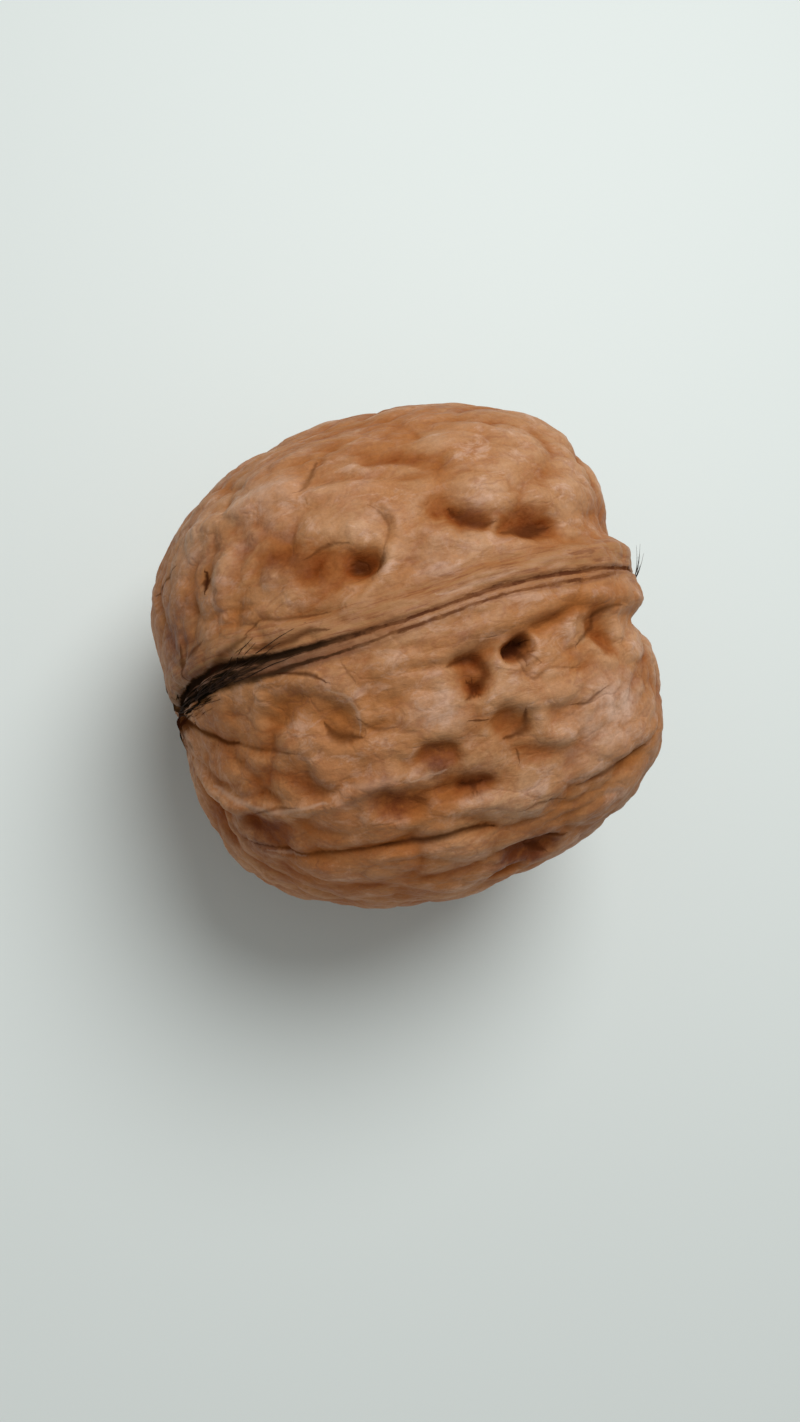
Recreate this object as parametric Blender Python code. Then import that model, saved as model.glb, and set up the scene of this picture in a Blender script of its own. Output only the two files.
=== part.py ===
"""A whole walnut in its shell, lying with its suture upright.

The nut's own axes: x runs from the stem end to the tip, y towards the left cheek and z up to the
suture that shows from above. A place on the shell is a latitude, -90 at the stem end and 90 at the
tip, and a longitude, 0 on the upper suture, 90 on the left cheek, -90 on the right cheek and 180 on
the lower suture, both in degrees.
"""

import math
import random

import bmesh
import bpy
import numpy as np
from mathutils import Matrix, Vector, noise

MM = 0.001

# Reach of the plain form from the middle of the nut, before any relief
STEM_REACH = 19.3 * MM
TIP_REACH = 16.8 * MM
LEFT_REACH = 18.2 * MM
RIGHT_REACH = 19.1 * MM
SUTURE_REACH = 18.0 * MM
MEAN_RADIUS = 18.5 * MM
PROFILE_POWER = 2.5
SECTION_POWER = 2.3

# How it lies: the upper suture leans towards the right cheek, and the lowest bit is worn flat
LEAN = math.radians(7)
REST_DEPTH = 17.8 * MM
FLAT_SLACK = 0.02 * MM

# The suture's raised band, wider towards the tip, with a trough on each side and two lips
BAND_HALF_WIDTH = 2.2 * MM
BAND_WIDENING = 0.4 * MM
BAND_FLANK = 1.3 * MM
BAND_HEIGHT_AT_STEM = 0.15 * MM
BAND_HEIGHT_AT_TIP = 0.75 * MM
BAND_FOLLOWS_SEAM = 0.6
TROUGH_DEPTH = 0.45 * MM
TROUGH_OFFSET = 3.9 * MM
TROUGH_SPREAD = 1.2 * MM
LIP_GROOVE_DEPTH = 0.3 * MM
LIP_GROOVE_HALF_WIDTH = 1.2 * MM
BEAK_HEIGHT = 2.4 * MM
BEAK_SPREAD = 2.8 * MM

# The crack along the seam, wider at the stem end, and the stem scar
CRACK_DEPTH = 0.25 * MM
CRACK_HALF_WIDTH = 0.25 * MM
CRACK_DEPTH_AT_STEM = 0.9 * MM
CRACK_HALF_WIDTH_AT_STEM = 0.8 * MM
SCAR_DEPTH = 1.3 * MM
SCAR_RADIUS = 2.2 * MM

# The mesh: cells along one side of the cube that the globe is blown up from, then thinned
ROWS = 96
SUTURE_CROWDING = 0.4
TRIANGLES = 11600

SHELL_COLOUR = (0.42, 0.215, 0.105, 1.0)
SHELL_ROUGHNESS = 0.55

# Broad swellings and hollows of the form: latitude, longitude, spread in mm, height in mm
SWELLINGS = [
    (44, -50, 8.0, 1.5),
    (39, 50, 8.0, 1.0),
    (50, 10, 5.0, -0.3),
    (52, -27, 5.0, -0.5),
    (-56, -92, 8.0, 0.6),
    (-62, 86, 6.0, 0.35),
    (-80, 178, 6.0, -0.55),
    (6, 72, 5.0, 0.3),
    (23, 70, 4.0, -0.3),
    (17, -72, 5.0, -0.4),
    (-4, -72, 6.0, 0.3),
    (20, 150, 8.0, 0.5),
    (-35, -150, 8.0, 0.5),
]

# Pits: half width in mm, depth in mm, then the places that the pit runs through
PITS = [
    (1.9, 0.6, [(-26.5, 21), (-21, 18.5)]),
    (1.2, 0.5, [(-19.5, 17.3), (-18, 17)]),
    (1.6, 0.45, [(1, 22.5), (8, 19.5), (14, 17), (21, 16)]),
    (0.8, 0.3, [(3, 22), (7, 19.7)]),
    (0.9, 0.2, [(13, 15.5), (18, 14.8), (22, 16)]),
    (1.1, 0.3, [(-8, 41), (-2, 39), (3, 36)]),
    (0.9, 1.4, [(5.4, -8.9), (7.6, -8.3)]),
    (1.5, 0.3, [(-6.5, -11), (-4.5, -12)]),
    (0.7, 0.25, [(-4.9, -13.2), (-4.5, -14)]),
    (1.2, 0.55, [(0.3, -22.3), (3, -23.5)]),
    (1.2, 0.35, [(-16.5, -25.5), (-13.7, -26)]),
    (1.6, 0.3, [(-12, -33.5), (-5, -34)]),
    (1.0, 0.42, [(-10, -34), (-7, -34.5)]),
    (1.2, 0.5, [(-25.5, -33.6), (-22.3, -34.9)]),
    (1.3, 0.5, [(0.5, -55.8), (6, -56.6)]),
    (0.8, 0.4, [(-2.6, -62), (0.6, -62)]),
    (1.3, 0.3, [(10.9, -24.9), (13.6, -25.1)]),
    (1.4, 0.45, [(27.5, -9.5), (28, -12)]),
    (1.4, 0.35, [(-41.3, -25.5), (-39.3, -28.8)]),
    (1.0, 0.25, [(-43, -5.2), (-40.5, -6.2)]),
    (1.1, 0.25, [(-45.3, -9.1), (-43.4, -8.8)]),
    (1.4, 0.2, [(-36, -11.5), (-33, -13.5)]),
    (1.3, 0.35, [(-52, -44.8), (-49, -47)]),
    (1.6, 0.35, [(-68, -58), (-63, -66)]),
]

# Furrows: half width in mm, depth in mm, then the places that the furrow runs through
FURROWS = [
    (0.9, 0.5, [(-55, -56.5), (-48, -53), (-39.5, -49), (-30, -46), (-21, -44.6), (-12.5, -43.8), (-6, -45)]),
    (0.7, 0.3, [(1, -53.7), (5.6, -54), (9, -55)]),
    (1.0, 0.4, [(12, -42), (18.8, -42.3), (26, -42.5), (32, -42.4), (36, -41)]),
    (0.9, 0.2, [(-70.6, -8.9), (-66.6, -12.5), (-61, -15), (-56, -16.7), (-50, -18.9), (-42, -19.8)]),
    (1.1, 0.35, [(-74, -58), (-66, -56), (-58.6, -47.5), (-53, -45.5)]),
    (0.7, 0.3, [(-76, -38), (-66, -36.5), (-60, -36), (-55, -36.5), (-50, -33)]),
    (1.0, 0.45, [(-15, -7), (-5, -8), (5, -7), (13, -5), (21, -4), (35, -6)]),
    (0.8, 0.35, [(-44.2, 13.6), (-41.3, 15.1), (-38.4, 13.8), (-34.7, 12.6), (-27.7, 10.5)]),
    (0.8, 0.3, [(-16, 8), (-9, 8), (1, 10), (12, 10), (24, 11), (38, 12)]),
    (0.8, 0.35, [(-8.5, -8.1), (-3.7, -8.5), (-1.5, -11.2), (-2.8, -12.9), (-5.5, -14.8)]),
    (0.7, 0.3, [(-18, -32.3), (-14, -33.5), (-10, -34.2)]),
    (0.8, 0.28, [(-35.6, -13.9), (-34.2, -16.4), (-32.5, -17.3), (-29.7, -17.7)]),
    (1.0, 0.25, [(-37.3, 40.8), (-39.4, 34.8), (-42, 28.5)]),
    (1.4, 0.4, [(-21.7, 33.9), (-27, 33.3), (-30.3, 31), (-32, 26.5), (-34.8, 21.2)]),
    (1.0, 0.28, [(-42.5, 45), (-45.2, 40.8), (-47.8, 36), (-48.2, 29)]),
    (0.9, 0.35, [(-17, 47.5), (-20.7, 42.9), (-25, 38)]),
    (0.6, 0.15, [(-13.4, 28), (-11.7, 24.8), (-11.9, 22.6), (-14.2, 18.7)]),
    (1.6, 1.1, [(44, -13), (54, -15), (64, -18), (72, -28)]),
    (0.5, 0.2, [(5.4, -9.8), (6, -13.2), (7.8, -15.5), (11.2, -14.1), (17.4, -16.9)]),
    (0.5, 0.2, [(15.6, -24.1), (18.4, -24.7), (22.5, -23.1)]),
    (0.5, 0.2, [(0.5, -41), (4.6, -41), (9.4, -43.2)]),
]

# Ribs: half width in mm, height in mm, then the places that the rib runs through
RIBS = [
    (1.1, 0.45, [(-72, -48), (-64, -43), (-55, -41.5), (-47, -37.6), (-41.8, -34.2), (-36, -32.4)]),
    (1.1, 0.42, [(-38, -32.9), (-34, -31.8), (-29.7, -29.5), (-24.5, -28), (-19, -27.4), (-14, -28)]),
    (1.6, 0.5, [(-46, 53.5), (-37, 45.5), (-30, 41.6), (-24, 41.8), (-20, 43)]),
    (1.2, 0.3, [(-11, 28), (-9.5, 24), (-10, 20), (-12.5, 16), (-15, 13), (-20, 10.5)]),
    (1.6, 0.2, [(-20, 24.5), (-15.6, 23)]),
    (0.9, 0.22, [(-36, -2.8), (-33, -4), (-29.8, -6.8), (-28.4, -9.3), (-27.7, -12.6), (-27.5, -15.5)]),
    (0.9, 0.3, [(21.5, -5.5), (19.5, -9), (19, -13)]),
    (1.2, 0.25, [(33.5, -8), (33, -11), (32, -15)]),
    (1.4, 0.35, [(-14, -38), (-4, -38), (4, -40), (14, -37)]),
    (1.4, 0.4, [(-48, 22), (-46, 29), (-43, 36)]),
    (0.9, 0.25, [(6.3, -28.7), (10.9, -27.9), (15.6, -28.3)]),
]

# The sides that the nut hides from above get more pits, furrows and ribs, spread evenly
HIDDEN_MARKS = 150
HIDDEN_SEED = 11
SHOWN_FROM = Vector((-0.27, -0.05, 0.96))
SHOWN_LIMIT = 0.1

# Noise: waves per radius, drawn out along the nut, and height
UNDULATION = (3.2, 1.6, 0.2 * MM)
PILLOWS = (4.6, 1.7, 0.4 * MM)
WRINKLES = (10.0, 2.0, 0.2 * MM)
RUFFLE = (7.0, 1.0, 0.022)
CREASE_SHARPNESS = 0.45
CREASE_POWER = 0.75


def smoothstep(amount):
    amount = np.clip(amount, 0.0, 1.0)
    return amount * amount * (3.0 - 2.0 * amount)


def on_globe(latitude, longitude):
    lat, lon = math.radians(latitude), math.radians(longitude)
    return Vector((math.sin(lat), math.cos(lat) * math.sin(lon), math.cos(lat) * math.cos(lon)))


def latitudes(directions):
    return np.degrees(np.arcsin(np.clip(directions[:, 0], -1.0, 1.0)))


def noise_at(directions, waves, stretch, seed):
    """Smooth noise from about -1 to 1 for each direction."""
    places = directions * np.array([waves / stretch, waves, waves]) + 17.0 * seed
    return np.array([noise.noise(Vector(place)) for place in places])


def creased(values):
    """Noise folded into rounded pillows with creases between them, from about -0.6 to 0.4."""
    return np.clip(np.abs(values) / CREASE_SHARPNESS, 0.0, 1.0) ** CREASE_POWER - 0.6


def seam_offset(directions):
    """How far the seam wanders to the left of the suture plane."""
    latitude = latitudes(directions)
    above = 0.4 + 0.65 * smoothstep((60.0 - latitude) / 40.0)
    above += 0.45 * np.exp(-(((latitude - 6.0) / 14.0) ** 2))
    above += 0.65 * np.exp(-(((latitude + 55.0) / 12.0) ** 2))
    below = -0.2 - 0.7 * np.exp(-(((latitude + 12.0) / 26.0) ** 2))
    ends = smoothstep((90.0 - np.abs(latitude)) / 20.0)
    return np.where(directions[:, 2] > 0.0, above, below) * ends * MM


def globe(rows):
    """Unit directions and faces of a cube blown up into a globe, with a row of points on the seam."""
    mesh = bmesh.new()
    bmesh.ops.create_cube(mesh, size=2.0)
    bmesh.ops.subdivide_edges(mesh, edges=mesh.edges, cuts=rows - 1, use_grid_fill=True)
    mesh.verts.ensure_lookup_table()
    cube = np.array([vertex.co for vertex in mesh.verts])
    faces = [[vertex.index for vertex in face.verts] for face in mesh.faces]
    mesh.free()
    cube[:, 1] *= 1.0 - SUTURE_CROWDING + SUTURE_CROWDING * np.abs(cube[:, 1])
    cube = np.tan(cube * math.pi / 4.0)
    directions = cube / np.linalg.norm(cube, axis=1)[:, None]
    fade = np.exp(-((directions[:, 1] * MEAN_RADIUS / (6.0 * MM)) ** 2))
    directions[:, 1] += seam_offset(directions) * fade / MEAN_RADIUS
    return directions / np.linalg.norm(directions, axis=1)[:, None], faces


def plain_radius(directions):
    """Distance from the middle to the plain form: squarish along the nut and rounder across it."""
    x, y, z = np.abs(directions).T
    lengthways = x / np.where(directions[:, 0] > 0.0, TIP_REACH, STEM_REACH)
    sideways = y / np.where(directions[:, 1] > 0.0, LEFT_REACH, RIGHT_REACH)
    across = (sideways**SECTION_POWER + (z / SUTURE_REACH) ** SECTION_POWER) ** (1.0 / SECTION_POWER)
    return (lengthways**PROFILE_POWER + across**PROFILE_POWER) ** (-1.0 / PROFILE_POWER)


def smooth_path(places):
    """Points about half a millimetre apart on a smooth curve through the places, on the unit globe."""
    marks = [on_globe(*place) for place in places]
    marks = [2 * marks[0] - marks[1], *marks, 2 * marks[-1] - marks[-2]]
    path = []
    for before, start, end, after in zip(marks, marks[1:], marks[2:], marks[3:]):
        steps = max(2, round((end - start).length * MEAN_RADIUS / (0.5 * MM)))
        for step in range(steps):
            t = step / steps
            bend = (3 * start - before - 3 * end + after) * t**3
            bend += (2 * before - 5 * start + 4 * end - after) * t**2
            path.append((2 * start + (end - before) * t + bend) / 2)
    path.append(marks[-2])
    return np.array([point.normalized() for point in path])


def distance_to(directions, path, reach):
    """The points near a path, their distance from it, and their share of its length."""
    middle = path[len(path) // 2]
    spread = np.linalg.norm(path - middle, axis=1).max() + reach / MEAN_RADIUS
    near = np.flatnonzero(((directions - middle) ** 2).sum(axis=1) < spread**2)
    closest = np.linalg.norm(directions[near, None, :] - path[None, :, :], axis=2).argmin(axis=1)
    heading = np.gradient(path, axis=0)[closest]
    offset = directions[near] - path[closest]
    slide = (offset * heading).sum(axis=1) / (heading**2).sum(axis=1)
    offset -= np.clip(slide, -0.5, 0.5)[:, None] * heading
    return near, np.linalg.norm(offset, axis=1) * MEAN_RADIUS, closest / (len(path) - 1)


def pit_shape(gap):
    """Steep walls round a flat floor, with a slight rim; the gap is in half widths."""
    return 0.12 * np.exp(-(((gap - 1.2) / 0.25) ** 2)) - smoothstep(1.15 * (1.0 - gap))


def furrow_shape(gap):
    return -(np.clip(1.0 - gap, 0.0, 1.0) ** 1.3)


def rib_shape(gap):
    return smoothstep(1.0 - gap)


def add_marks(heights, directions, marks, shape, tapered):
    """Adds each mark of a list to the heights. A tapered mark narrows and flattens to its ends."""
    for half_width, height, places in marks:
        near, gap, along = distance_to(directions, smooth_path(places), 1.8 * half_width * MM)
        taper = 0.3 + 0.7 * np.sqrt(np.sin(math.pi * np.clip(along, 0.01, 0.99))) if tapered else 1.0
        heights[near] += height * MM * taper * shape(gap / (half_width * MM * taper))


def wander(start, heading, length, steps, draw):
    """Places on a line that wanders over the shell from a start."""
    places = []
    point = start.copy()
    for _ in range(steps + 1):
        longitude = math.degrees(math.atan2(point.y, point.z))
        places.append((math.degrees(math.asin(point.x)), longitude))
        north = (Vector((1, 0, 0)) - point * point.x).normalized()
        ahead = north * math.cos(heading) + point.cross(north) * math.sin(heading)
        point = (point + ahead * (length / steps / MEAN_RADIUS)).normalized()
        heading += draw.uniform(-0.5, 0.5)
    return places


def hidden_marks():
    """Pits, furrows and ribs for the sides and underside, spread on a spiral and shifted at random."""
    draw = random.Random(HIDDEN_SEED)
    pits, furrows, ribs = [], [], []
    golden_angle = math.pi * (3.0 - math.sqrt(5.0))
    for number in range(HIDDEN_MARKS):
        x = 1.0 - (2.0 * number + 1.0) / HIDDEN_MARKS
        ring = math.sqrt(1.0 - x * x)
        turn = golden_angle * number
        shift = Vector([draw.uniform(-0.07, 0.07) for _ in range(3)])
        start = (Vector((x, ring * math.sin(turn), ring * math.cos(turn))) + shift).normalized()
        kind, size, slant = draw.random(), draw.random(), draw.uniform(-0.6, 0.6)
        if start.dot(SHOWN_FROM) > SHOWN_LIMIT or abs(start.x) > 0.95 or abs(start.y) < 0.13:
            continue
        if kind < 0.42:
            places = wander(start, slant, (0.8 + 2.4 * size) * MM, 2, draw)
            pits.append((0.9 + 0.7 * size, 0.5 + 0.7 * draw.random(), places))
        elif kind < 0.76:
            places = wander(start, slant, (4.0 + 7.0 * size) * MM, 4, draw)
            furrows.append((0.8 + 0.5 * size, 0.4 + 0.4 * draw.random(), places))
        else:
            places = wander(start, slant, (4.0 + 6.0 * size) * MM, 4, draw)
            ribs.append((1.1 + 0.5 * size, 0.35 + 0.25 * draw.random(), places))
    return pits, furrows, ribs


def form_relief(directions):
    """Broad swellings, and the noise that makes the whole surface uneven."""
    heights = UNDULATION[2] * noise_at(directions, *UNDULATION[:2], 4)
    for latitude, longitude, spread, height in SWELLINGS:
        gap = np.linalg.norm(directions - np.array(on_globe(latitude, longitude)), axis=1) * MEAN_RADIUS
        heights += height * MM * np.exp(-((gap / (spread * MM)) ** 2))
    return heights


def suture_relief(directions):
    """The raised band with its troughs and lips, the beak at the tip, the crack and the stem scar."""
    latitude, seam = latitudes(directions), seam_offset(directions)
    across = directions[:, 1] * MEAN_RADIUS - BAND_FOLLOWS_SEAM * seam
    half_width = BAND_HALF_WIDTH + BAND_WIDENING * smoothstep((latitude - 15.0) / 45.0)
    towards_tip = smoothstep((latitude + 30.0) / 80.0)
    band_height = BAND_HEIGHT_AT_STEM + (BAND_HEIGHT_AT_TIP - BAND_HEIGHT_AT_STEM) * towards_tip
    heights = band_height * smoothstep((half_width - np.abs(across)) / BAND_FLANK + 0.5)
    trough = np.exp(-(((np.abs(across) - TROUGH_OFFSET) / TROUGH_SPREAD) ** 2))
    heights -= TROUGH_DEPTH * trough * (0.25 + 0.75 * towards_tip)
    from_seam = np.abs(directions[:, 1] * MEAN_RADIUS - seam)
    heights -= LIP_GROOVE_DEPTH * np.exp(-((from_seam / LIP_GROOVE_HALF_WIDTH) ** 2)) * towards_tip
    at_stem = smoothstep((-latitude - 35.0) / 40.0)
    crack_width = CRACK_HALF_WIDTH + (CRACK_HALF_WIDTH_AT_STEM - CRACK_HALF_WIDTH) * at_stem
    crack_depth = CRACK_DEPTH + (CRACK_DEPTH_AT_STEM - CRACK_DEPTH) * at_stem
    heights -= crack_depth * np.clip(1.0 - from_seam / crack_width, 0.0, 1.0)
    end_gap = np.linalg.norm(np.abs(directions) - np.array([1.0, 0.0, 0.0]), axis=1) * MEAN_RADIUS
    beak = BEAK_HEIGHT * np.exp(-((end_gap / BEAK_SPREAD) ** 2))
    scar = SCAR_DEPTH * smoothstep(1.0 - end_gap / SCAR_RADIUS)
    return heights + np.where(directions[:, 0] > 0.0, beak, -scar)


def surface_relief(directions):
    """Pillows and wrinkles, then the pits, furrows and ribs with ruffled edges."""
    across = np.abs(directions[:, 1] * MEAN_RADIUS)
    off_band = 0.3 + 0.7 * smoothstep((across - BAND_HALF_WIDTH) / (2.0 * MM))
    ruffle = np.stack([noise_at(directions, *RUFFLE[:2], seed) for seed in (1, 2, 3)], axis=1)
    ruffled = directions + RUFFLE[2] * ruffle
    ruffled /= np.linalg.norm(ruffled, axis=1)[:, None]
    heights = PILLOWS[2] * creased(noise_at(ruffled, *PILLOWS[:2], 5)) * off_band
    heights += WRINKLES[2] * creased(noise_at(ruffled, *WRINKLES[:2], 6))
    more_pits, more_furrows, more_ribs = hidden_marks()
    add_marks(heights, ruffled, RIBS + more_ribs, rib_shape, tapered=True)
    add_marks(heights, ruffled, FURROWS + more_furrows, furrow_shape, tapered=True)
    add_marks(heights, ruffled, PITS + more_pits, pit_shape, tapered=False)
    return heights


def shell_points(directions):
    """Points of the shell in the nut's own axes, with the flat that it rests on."""
    radius = plain_radius(directions)
    radius += form_relief(directions) + suture_relief(directions) + surface_relief(directions)
    return worn_flat(directions * radius[:, None])


def worn_flat(points):
    """Moves whatever reaches below the resting plane, or all but reaches it, onto that plane."""
    down = np.array([0.0, -math.sin(LEAN), -math.cos(LEAN)])
    excess = points @ down - REST_DEPTH
    return points - np.outer(np.where(excess > -FLAT_SLACK, excess, 0.0), down)


def thinned(mesh, triangles):
    """A copy of the mesh with that many triangles, closest together where the shell bends most."""
    helper = bpy.data.objects.new("fine_shell", mesh)
    bpy.context.scene.collection.objects.link(helper)
    modifier = helper.modifiers.new("thin", "DECIMATE")
    modifier.ratio = triangles / (2 * len(mesh.polygons))
    graph = bpy.context.evaluated_depsgraph_get()
    thin = bpy.data.meshes.new_from_object(helper.evaluated_get(graph))
    bpy.data.objects.remove(helper)
    return thin


def shell_material():
    material = bpy.data.materials.new("walnut_shell")
    material.use_nodes = True
    shader = material.node_tree.nodes["Principled BSDF"]
    shader.inputs["Base Color"].default_value = SHELL_COLOUR
    shader.inputs["Roughness"].default_value = SHELL_ROUGHNESS
    return material


def shell_mesh(points, faces):
    mesh = bpy.data.meshes.new("walnut")
    mesh.from_pydata(points.tolist(), [], faces)
    mesh.shade_smooth()
    return mesh


def stand(nut):
    """Leans the nut over and stands it on the floor, with the middle of its outline at the origin."""
    lean = Matrix.Rotation(LEAN, 3, "X")
    leaned = np.array([lean @ vertex.co for vertex in nut.data.vertices])
    middle = (leaned.min(axis=0) + leaned.max(axis=0)) / 2.0
    nut.rotation_euler.x = LEAN
    nut.location = (-middle[0], -middle[1], REST_DEPTH)


def walnut():
    directions, faces = globe(ROWS)
    mesh = thinned(shell_mesh(shell_points(directions), faces), TRIANGLES)
    points = worn_flat(np.array([vertex.co for vertex in mesh.vertices]))
    mesh.vertices.foreach_set("co", points.ravel())
    mesh.materials.append(shell_material())
    nut = bpy.data.objects.new("walnut", mesh)
    bpy.context.scene.collection.objects.link(nut)
    stand(nut)


for leftover in list(bpy.data.objects):
    bpy.data.objects.remove(leftover)
walnut()
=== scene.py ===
"""The looks of a whole walnut in its shell: a finely wrinkled shell with its stains and dry fibres.

The nut's own axes: x runs from the stem end to the tip, y towards the left cheek and z up to the
suture that shows from above. A place on the shell is a latitude, -90 at the stem end and 90 at the
tip, and a longitude, 0 on the upper suture, 90 on the left cheek, -90 on the right cheek and 180 on
the lower suture, both in degrees.
"""

import math
import random

import bmesh
import bpy
import numpy as np
from mathutils import Matrix, Vector, noise


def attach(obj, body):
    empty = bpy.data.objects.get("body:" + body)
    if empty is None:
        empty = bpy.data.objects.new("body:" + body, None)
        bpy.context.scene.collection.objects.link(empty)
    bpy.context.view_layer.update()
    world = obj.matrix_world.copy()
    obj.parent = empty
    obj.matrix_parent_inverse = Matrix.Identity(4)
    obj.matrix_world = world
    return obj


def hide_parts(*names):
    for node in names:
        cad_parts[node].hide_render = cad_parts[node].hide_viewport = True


MM = 0.001

# Reach of the plain form from the middle of the nut, before any relief
STEM_REACH = 19.3 * MM
TIP_REACH = 16.8 * MM
LEFT_REACH = 18.2 * MM
RIGHT_REACH = 19.1 * MM
SUTURE_REACH = 18.0 * MM

# The radius that turns angles into lengths, and how squarish the form is along the nut and across it
MEAN_RADIUS = 18.5 * MM
PROFILE_POWER = 2.5
SECTION_POWER = 2.3

# How it lies: the upper suture leans towards the right cheek, and the lowest bit is worn flat
LEAN = math.radians(7)
REST_DEPTH = 17.8 * MM
FLAT_SLACK = 0.02 * MM

# The suture's raised band, wider towards the tip, with a trough on each side and two lips
BAND_HALF_WIDTH = 2.2 * MM
BAND_WIDENING = 0.4 * MM
BAND_FLANK = 1.3 * MM
BAND_HEIGHT_AT_STEM = 0.15 * MM
BAND_HEIGHT_AT_TIP = 0.75 * MM
BAND_FOLLOWS_SEAM = 0.6
TROUGH_DEPTH = 0.45 * MM
TROUGH_OFFSET = 3.9 * MM
TROUGH_SPREAD = 1.2 * MM
LIP_GROOVE_DEPTH = 0.3 * MM
LIP_GROOVE_HALF_WIDTH = 1.2 * MM
BEAK_HEIGHT = 2.4 * MM
BEAK_SPREAD = 2.8 * MM

# The crack along the seam, wider at the stem end, and the stem scar
CRACK_DEPTH = 0.25 * MM
CRACK_HALF_WIDTH = 0.25 * MM
CRACK_DEPTH_AT_STEM = 0.9 * MM
CRACK_HALF_WIDTH_AT_STEM = 0.8 * MM
SCAR_DEPTH = 1.3 * MM
SCAR_RADIUS = 2.2 * MM

# The mesh: cells along one side of the cube that the globe is blown up from
ROWS = 127
SUTURE_CROWDING = 0.4

# Broad swellings and hollows of the form: latitude, longitude, spread in mm, height in mm
SWELLINGS = [
    (44, -50, 8.0, 1.5),
    (39, 50, 8.0, 1.0),
    (50, 10, 5.0, -0.3),
    (52, -27, 5.0, -0.5),
    (-56, -92, 8.0, 0.6),
    (-62, 86, 6.0, 0.35),
    (-80, 178, 6.0, -0.55),
    (6, 72, 5.0, 0.3),
    (23, 70, 4.0, -0.3),
    (17, -72, 5.0, -0.4),
    (-4, -72, 6.0, 0.3),
    (20, 150, 8.0, 0.5),
    (-35, -150, 8.0, 0.5),
]

# Pits: half width in mm, depth in mm, then the places that the pit runs through
PITS = [
    (1.9, 0.6, [(-26.5, 21), (-21, 18.5)]),
    (1.2, 0.5, [(-19.5, 17.3), (-18, 17)]),
    (1.6, 0.45, [(1, 22.5), (8, 19.5), (14, 17), (21, 16)]),
    (0.8, 0.3, [(3, 22), (7, 19.7)]),
    (0.9, 0.2, [(13, 15.5), (18, 14.8), (22, 16)]),
    (1.1, 0.3, [(-8, 41), (-2, 39), (3, 36)]),
    (0.9, 1.4, [(5.4, -8.9), (7.6, -8.3)]),
    (1.5, 0.3, [(-6.5, -11), (-4.5, -12)]),
    (0.7, 0.25, [(-4.9, -13.2), (-4.5, -14)]),
    (1.2, 0.55, [(0.3, -22.3), (3, -23.5)]),
    (1.2, 0.35, [(-16.5, -25.5), (-13.7, -26)]),
    (1.6, 0.3, [(-12, -33.5), (-5, -34)]),
    (1.0, 0.42, [(-10, -34), (-7, -34.5)]),
    (1.2, 0.5, [(-25.5, -33.6), (-22.3, -34.9)]),
    (1.3, 0.5, [(0.5, -55.8), (6, -56.6)]),
    (0.8, 0.4, [(-2.6, -62), (0.6, -62)]),
    (1.3, 0.3, [(10.9, -24.9), (13.6, -25.1)]),
    (1.4, 0.45, [(27.5, -9.5), (28, -12)]),
    (1.4, 0.35, [(-41.3, -25.5), (-39.3, -28.8)]),
    (1.0, 0.25, [(-43, -5.2), (-40.5, -6.2)]),
    (1.1, 0.25, [(-45.3, -9.1), (-43.4, -8.8)]),
    (1.4, 0.2, [(-36, -11.5), (-33, -13.5)]),
    (1.3, 0.35, [(-52, -44.8), (-49, -47)]),
    (1.6, 0.35, [(-68, -58), (-63, -66)]),
]

# Furrows: half width in mm, depth in mm, then the places that the furrow runs through
FURROWS = [
    (0.9, 0.5, [
        (-55, -56.5), (-48, -53), (-39.5, -49), (-30, -46), (-21, -44.6), (-12.5, -43.8), (-6, -45),
    ]),
    (0.7, 0.3, [(1, -53.7), (5.6, -54), (9, -55)]),
    (1.0, 0.4, [(12, -42), (18.8, -42.3), (26, -42.5), (32, -42.4), (36, -41)]),
    (0.9, 0.2, [(-70.6, -8.9), (-66.6, -12.5), (-61, -15), (-56, -16.7), (-50, -18.9), (-42, -19.8)]),
    (1.1, 0.35, [(-74, -58), (-66, -56), (-58.6, -47.5), (-53, -45.5)]),
    (0.7, 0.3, [(-76, -38), (-66, -36.5), (-60, -36), (-55, -36.5), (-50, -33)]),
    (1.0, 0.45, [(-15, -7), (-5, -8), (5, -7), (13, -5), (21, -4), (35, -6)]),
    (0.8, 0.35, [(-44.2, 13.6), (-41.3, 15.1), (-38.4, 13.8), (-34.7, 12.6), (-27.7, 10.5)]),
    (0.8, 0.3, [(-16, 8), (-9, 8), (1, 10), (12, 10), (24, 11), (38, 12)]),
    (0.8, 0.35, [(-8.5, -8.1), (-3.7, -8.5), (-1.5, -11.2), (-2.8, -12.9), (-5.5, -14.8)]),
    (0.7, 0.3, [(-18, -32.3), (-14, -33.5), (-10, -34.2)]),
    (0.8, 0.28, [(-35.6, -13.9), (-34.2, -16.4), (-32.5, -17.3), (-29.7, -17.7)]),
    (1.0, 0.25, [(-37.3, 40.8), (-39.4, 34.8), (-42, 28.5)]),
    (1.4, 0.4, [(-21.7, 33.9), (-27, 33.3), (-30.3, 31), (-32, 26.5), (-34.8, 21.2)]),
    (1.0, 0.28, [(-42.5, 45), (-45.2, 40.8), (-47.8, 36), (-48.2, 29)]),
    (0.9, 0.35, [(-17, 47.5), (-20.7, 42.9), (-25, 38)]),
    (0.6, 0.15, [(-13.4, 28), (-11.7, 24.8), (-11.9, 22.6), (-14.2, 18.7)]),
    (1.6, 1.1, [(44, -13), (54, -15), (64, -18), (72, -28)]),
    (0.5, 0.2, [(5.4, -9.8), (6, -13.2), (7.8, -15.5), (11.2, -14.1), (17.4, -16.9)]),
    (0.5, 0.2, [(15.6, -24.1), (18.4, -24.7), (22.5, -23.1)]),
    (0.5, 0.2, [(0.5, -41), (4.6, -41), (9.4, -43.2)]),
]

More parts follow.
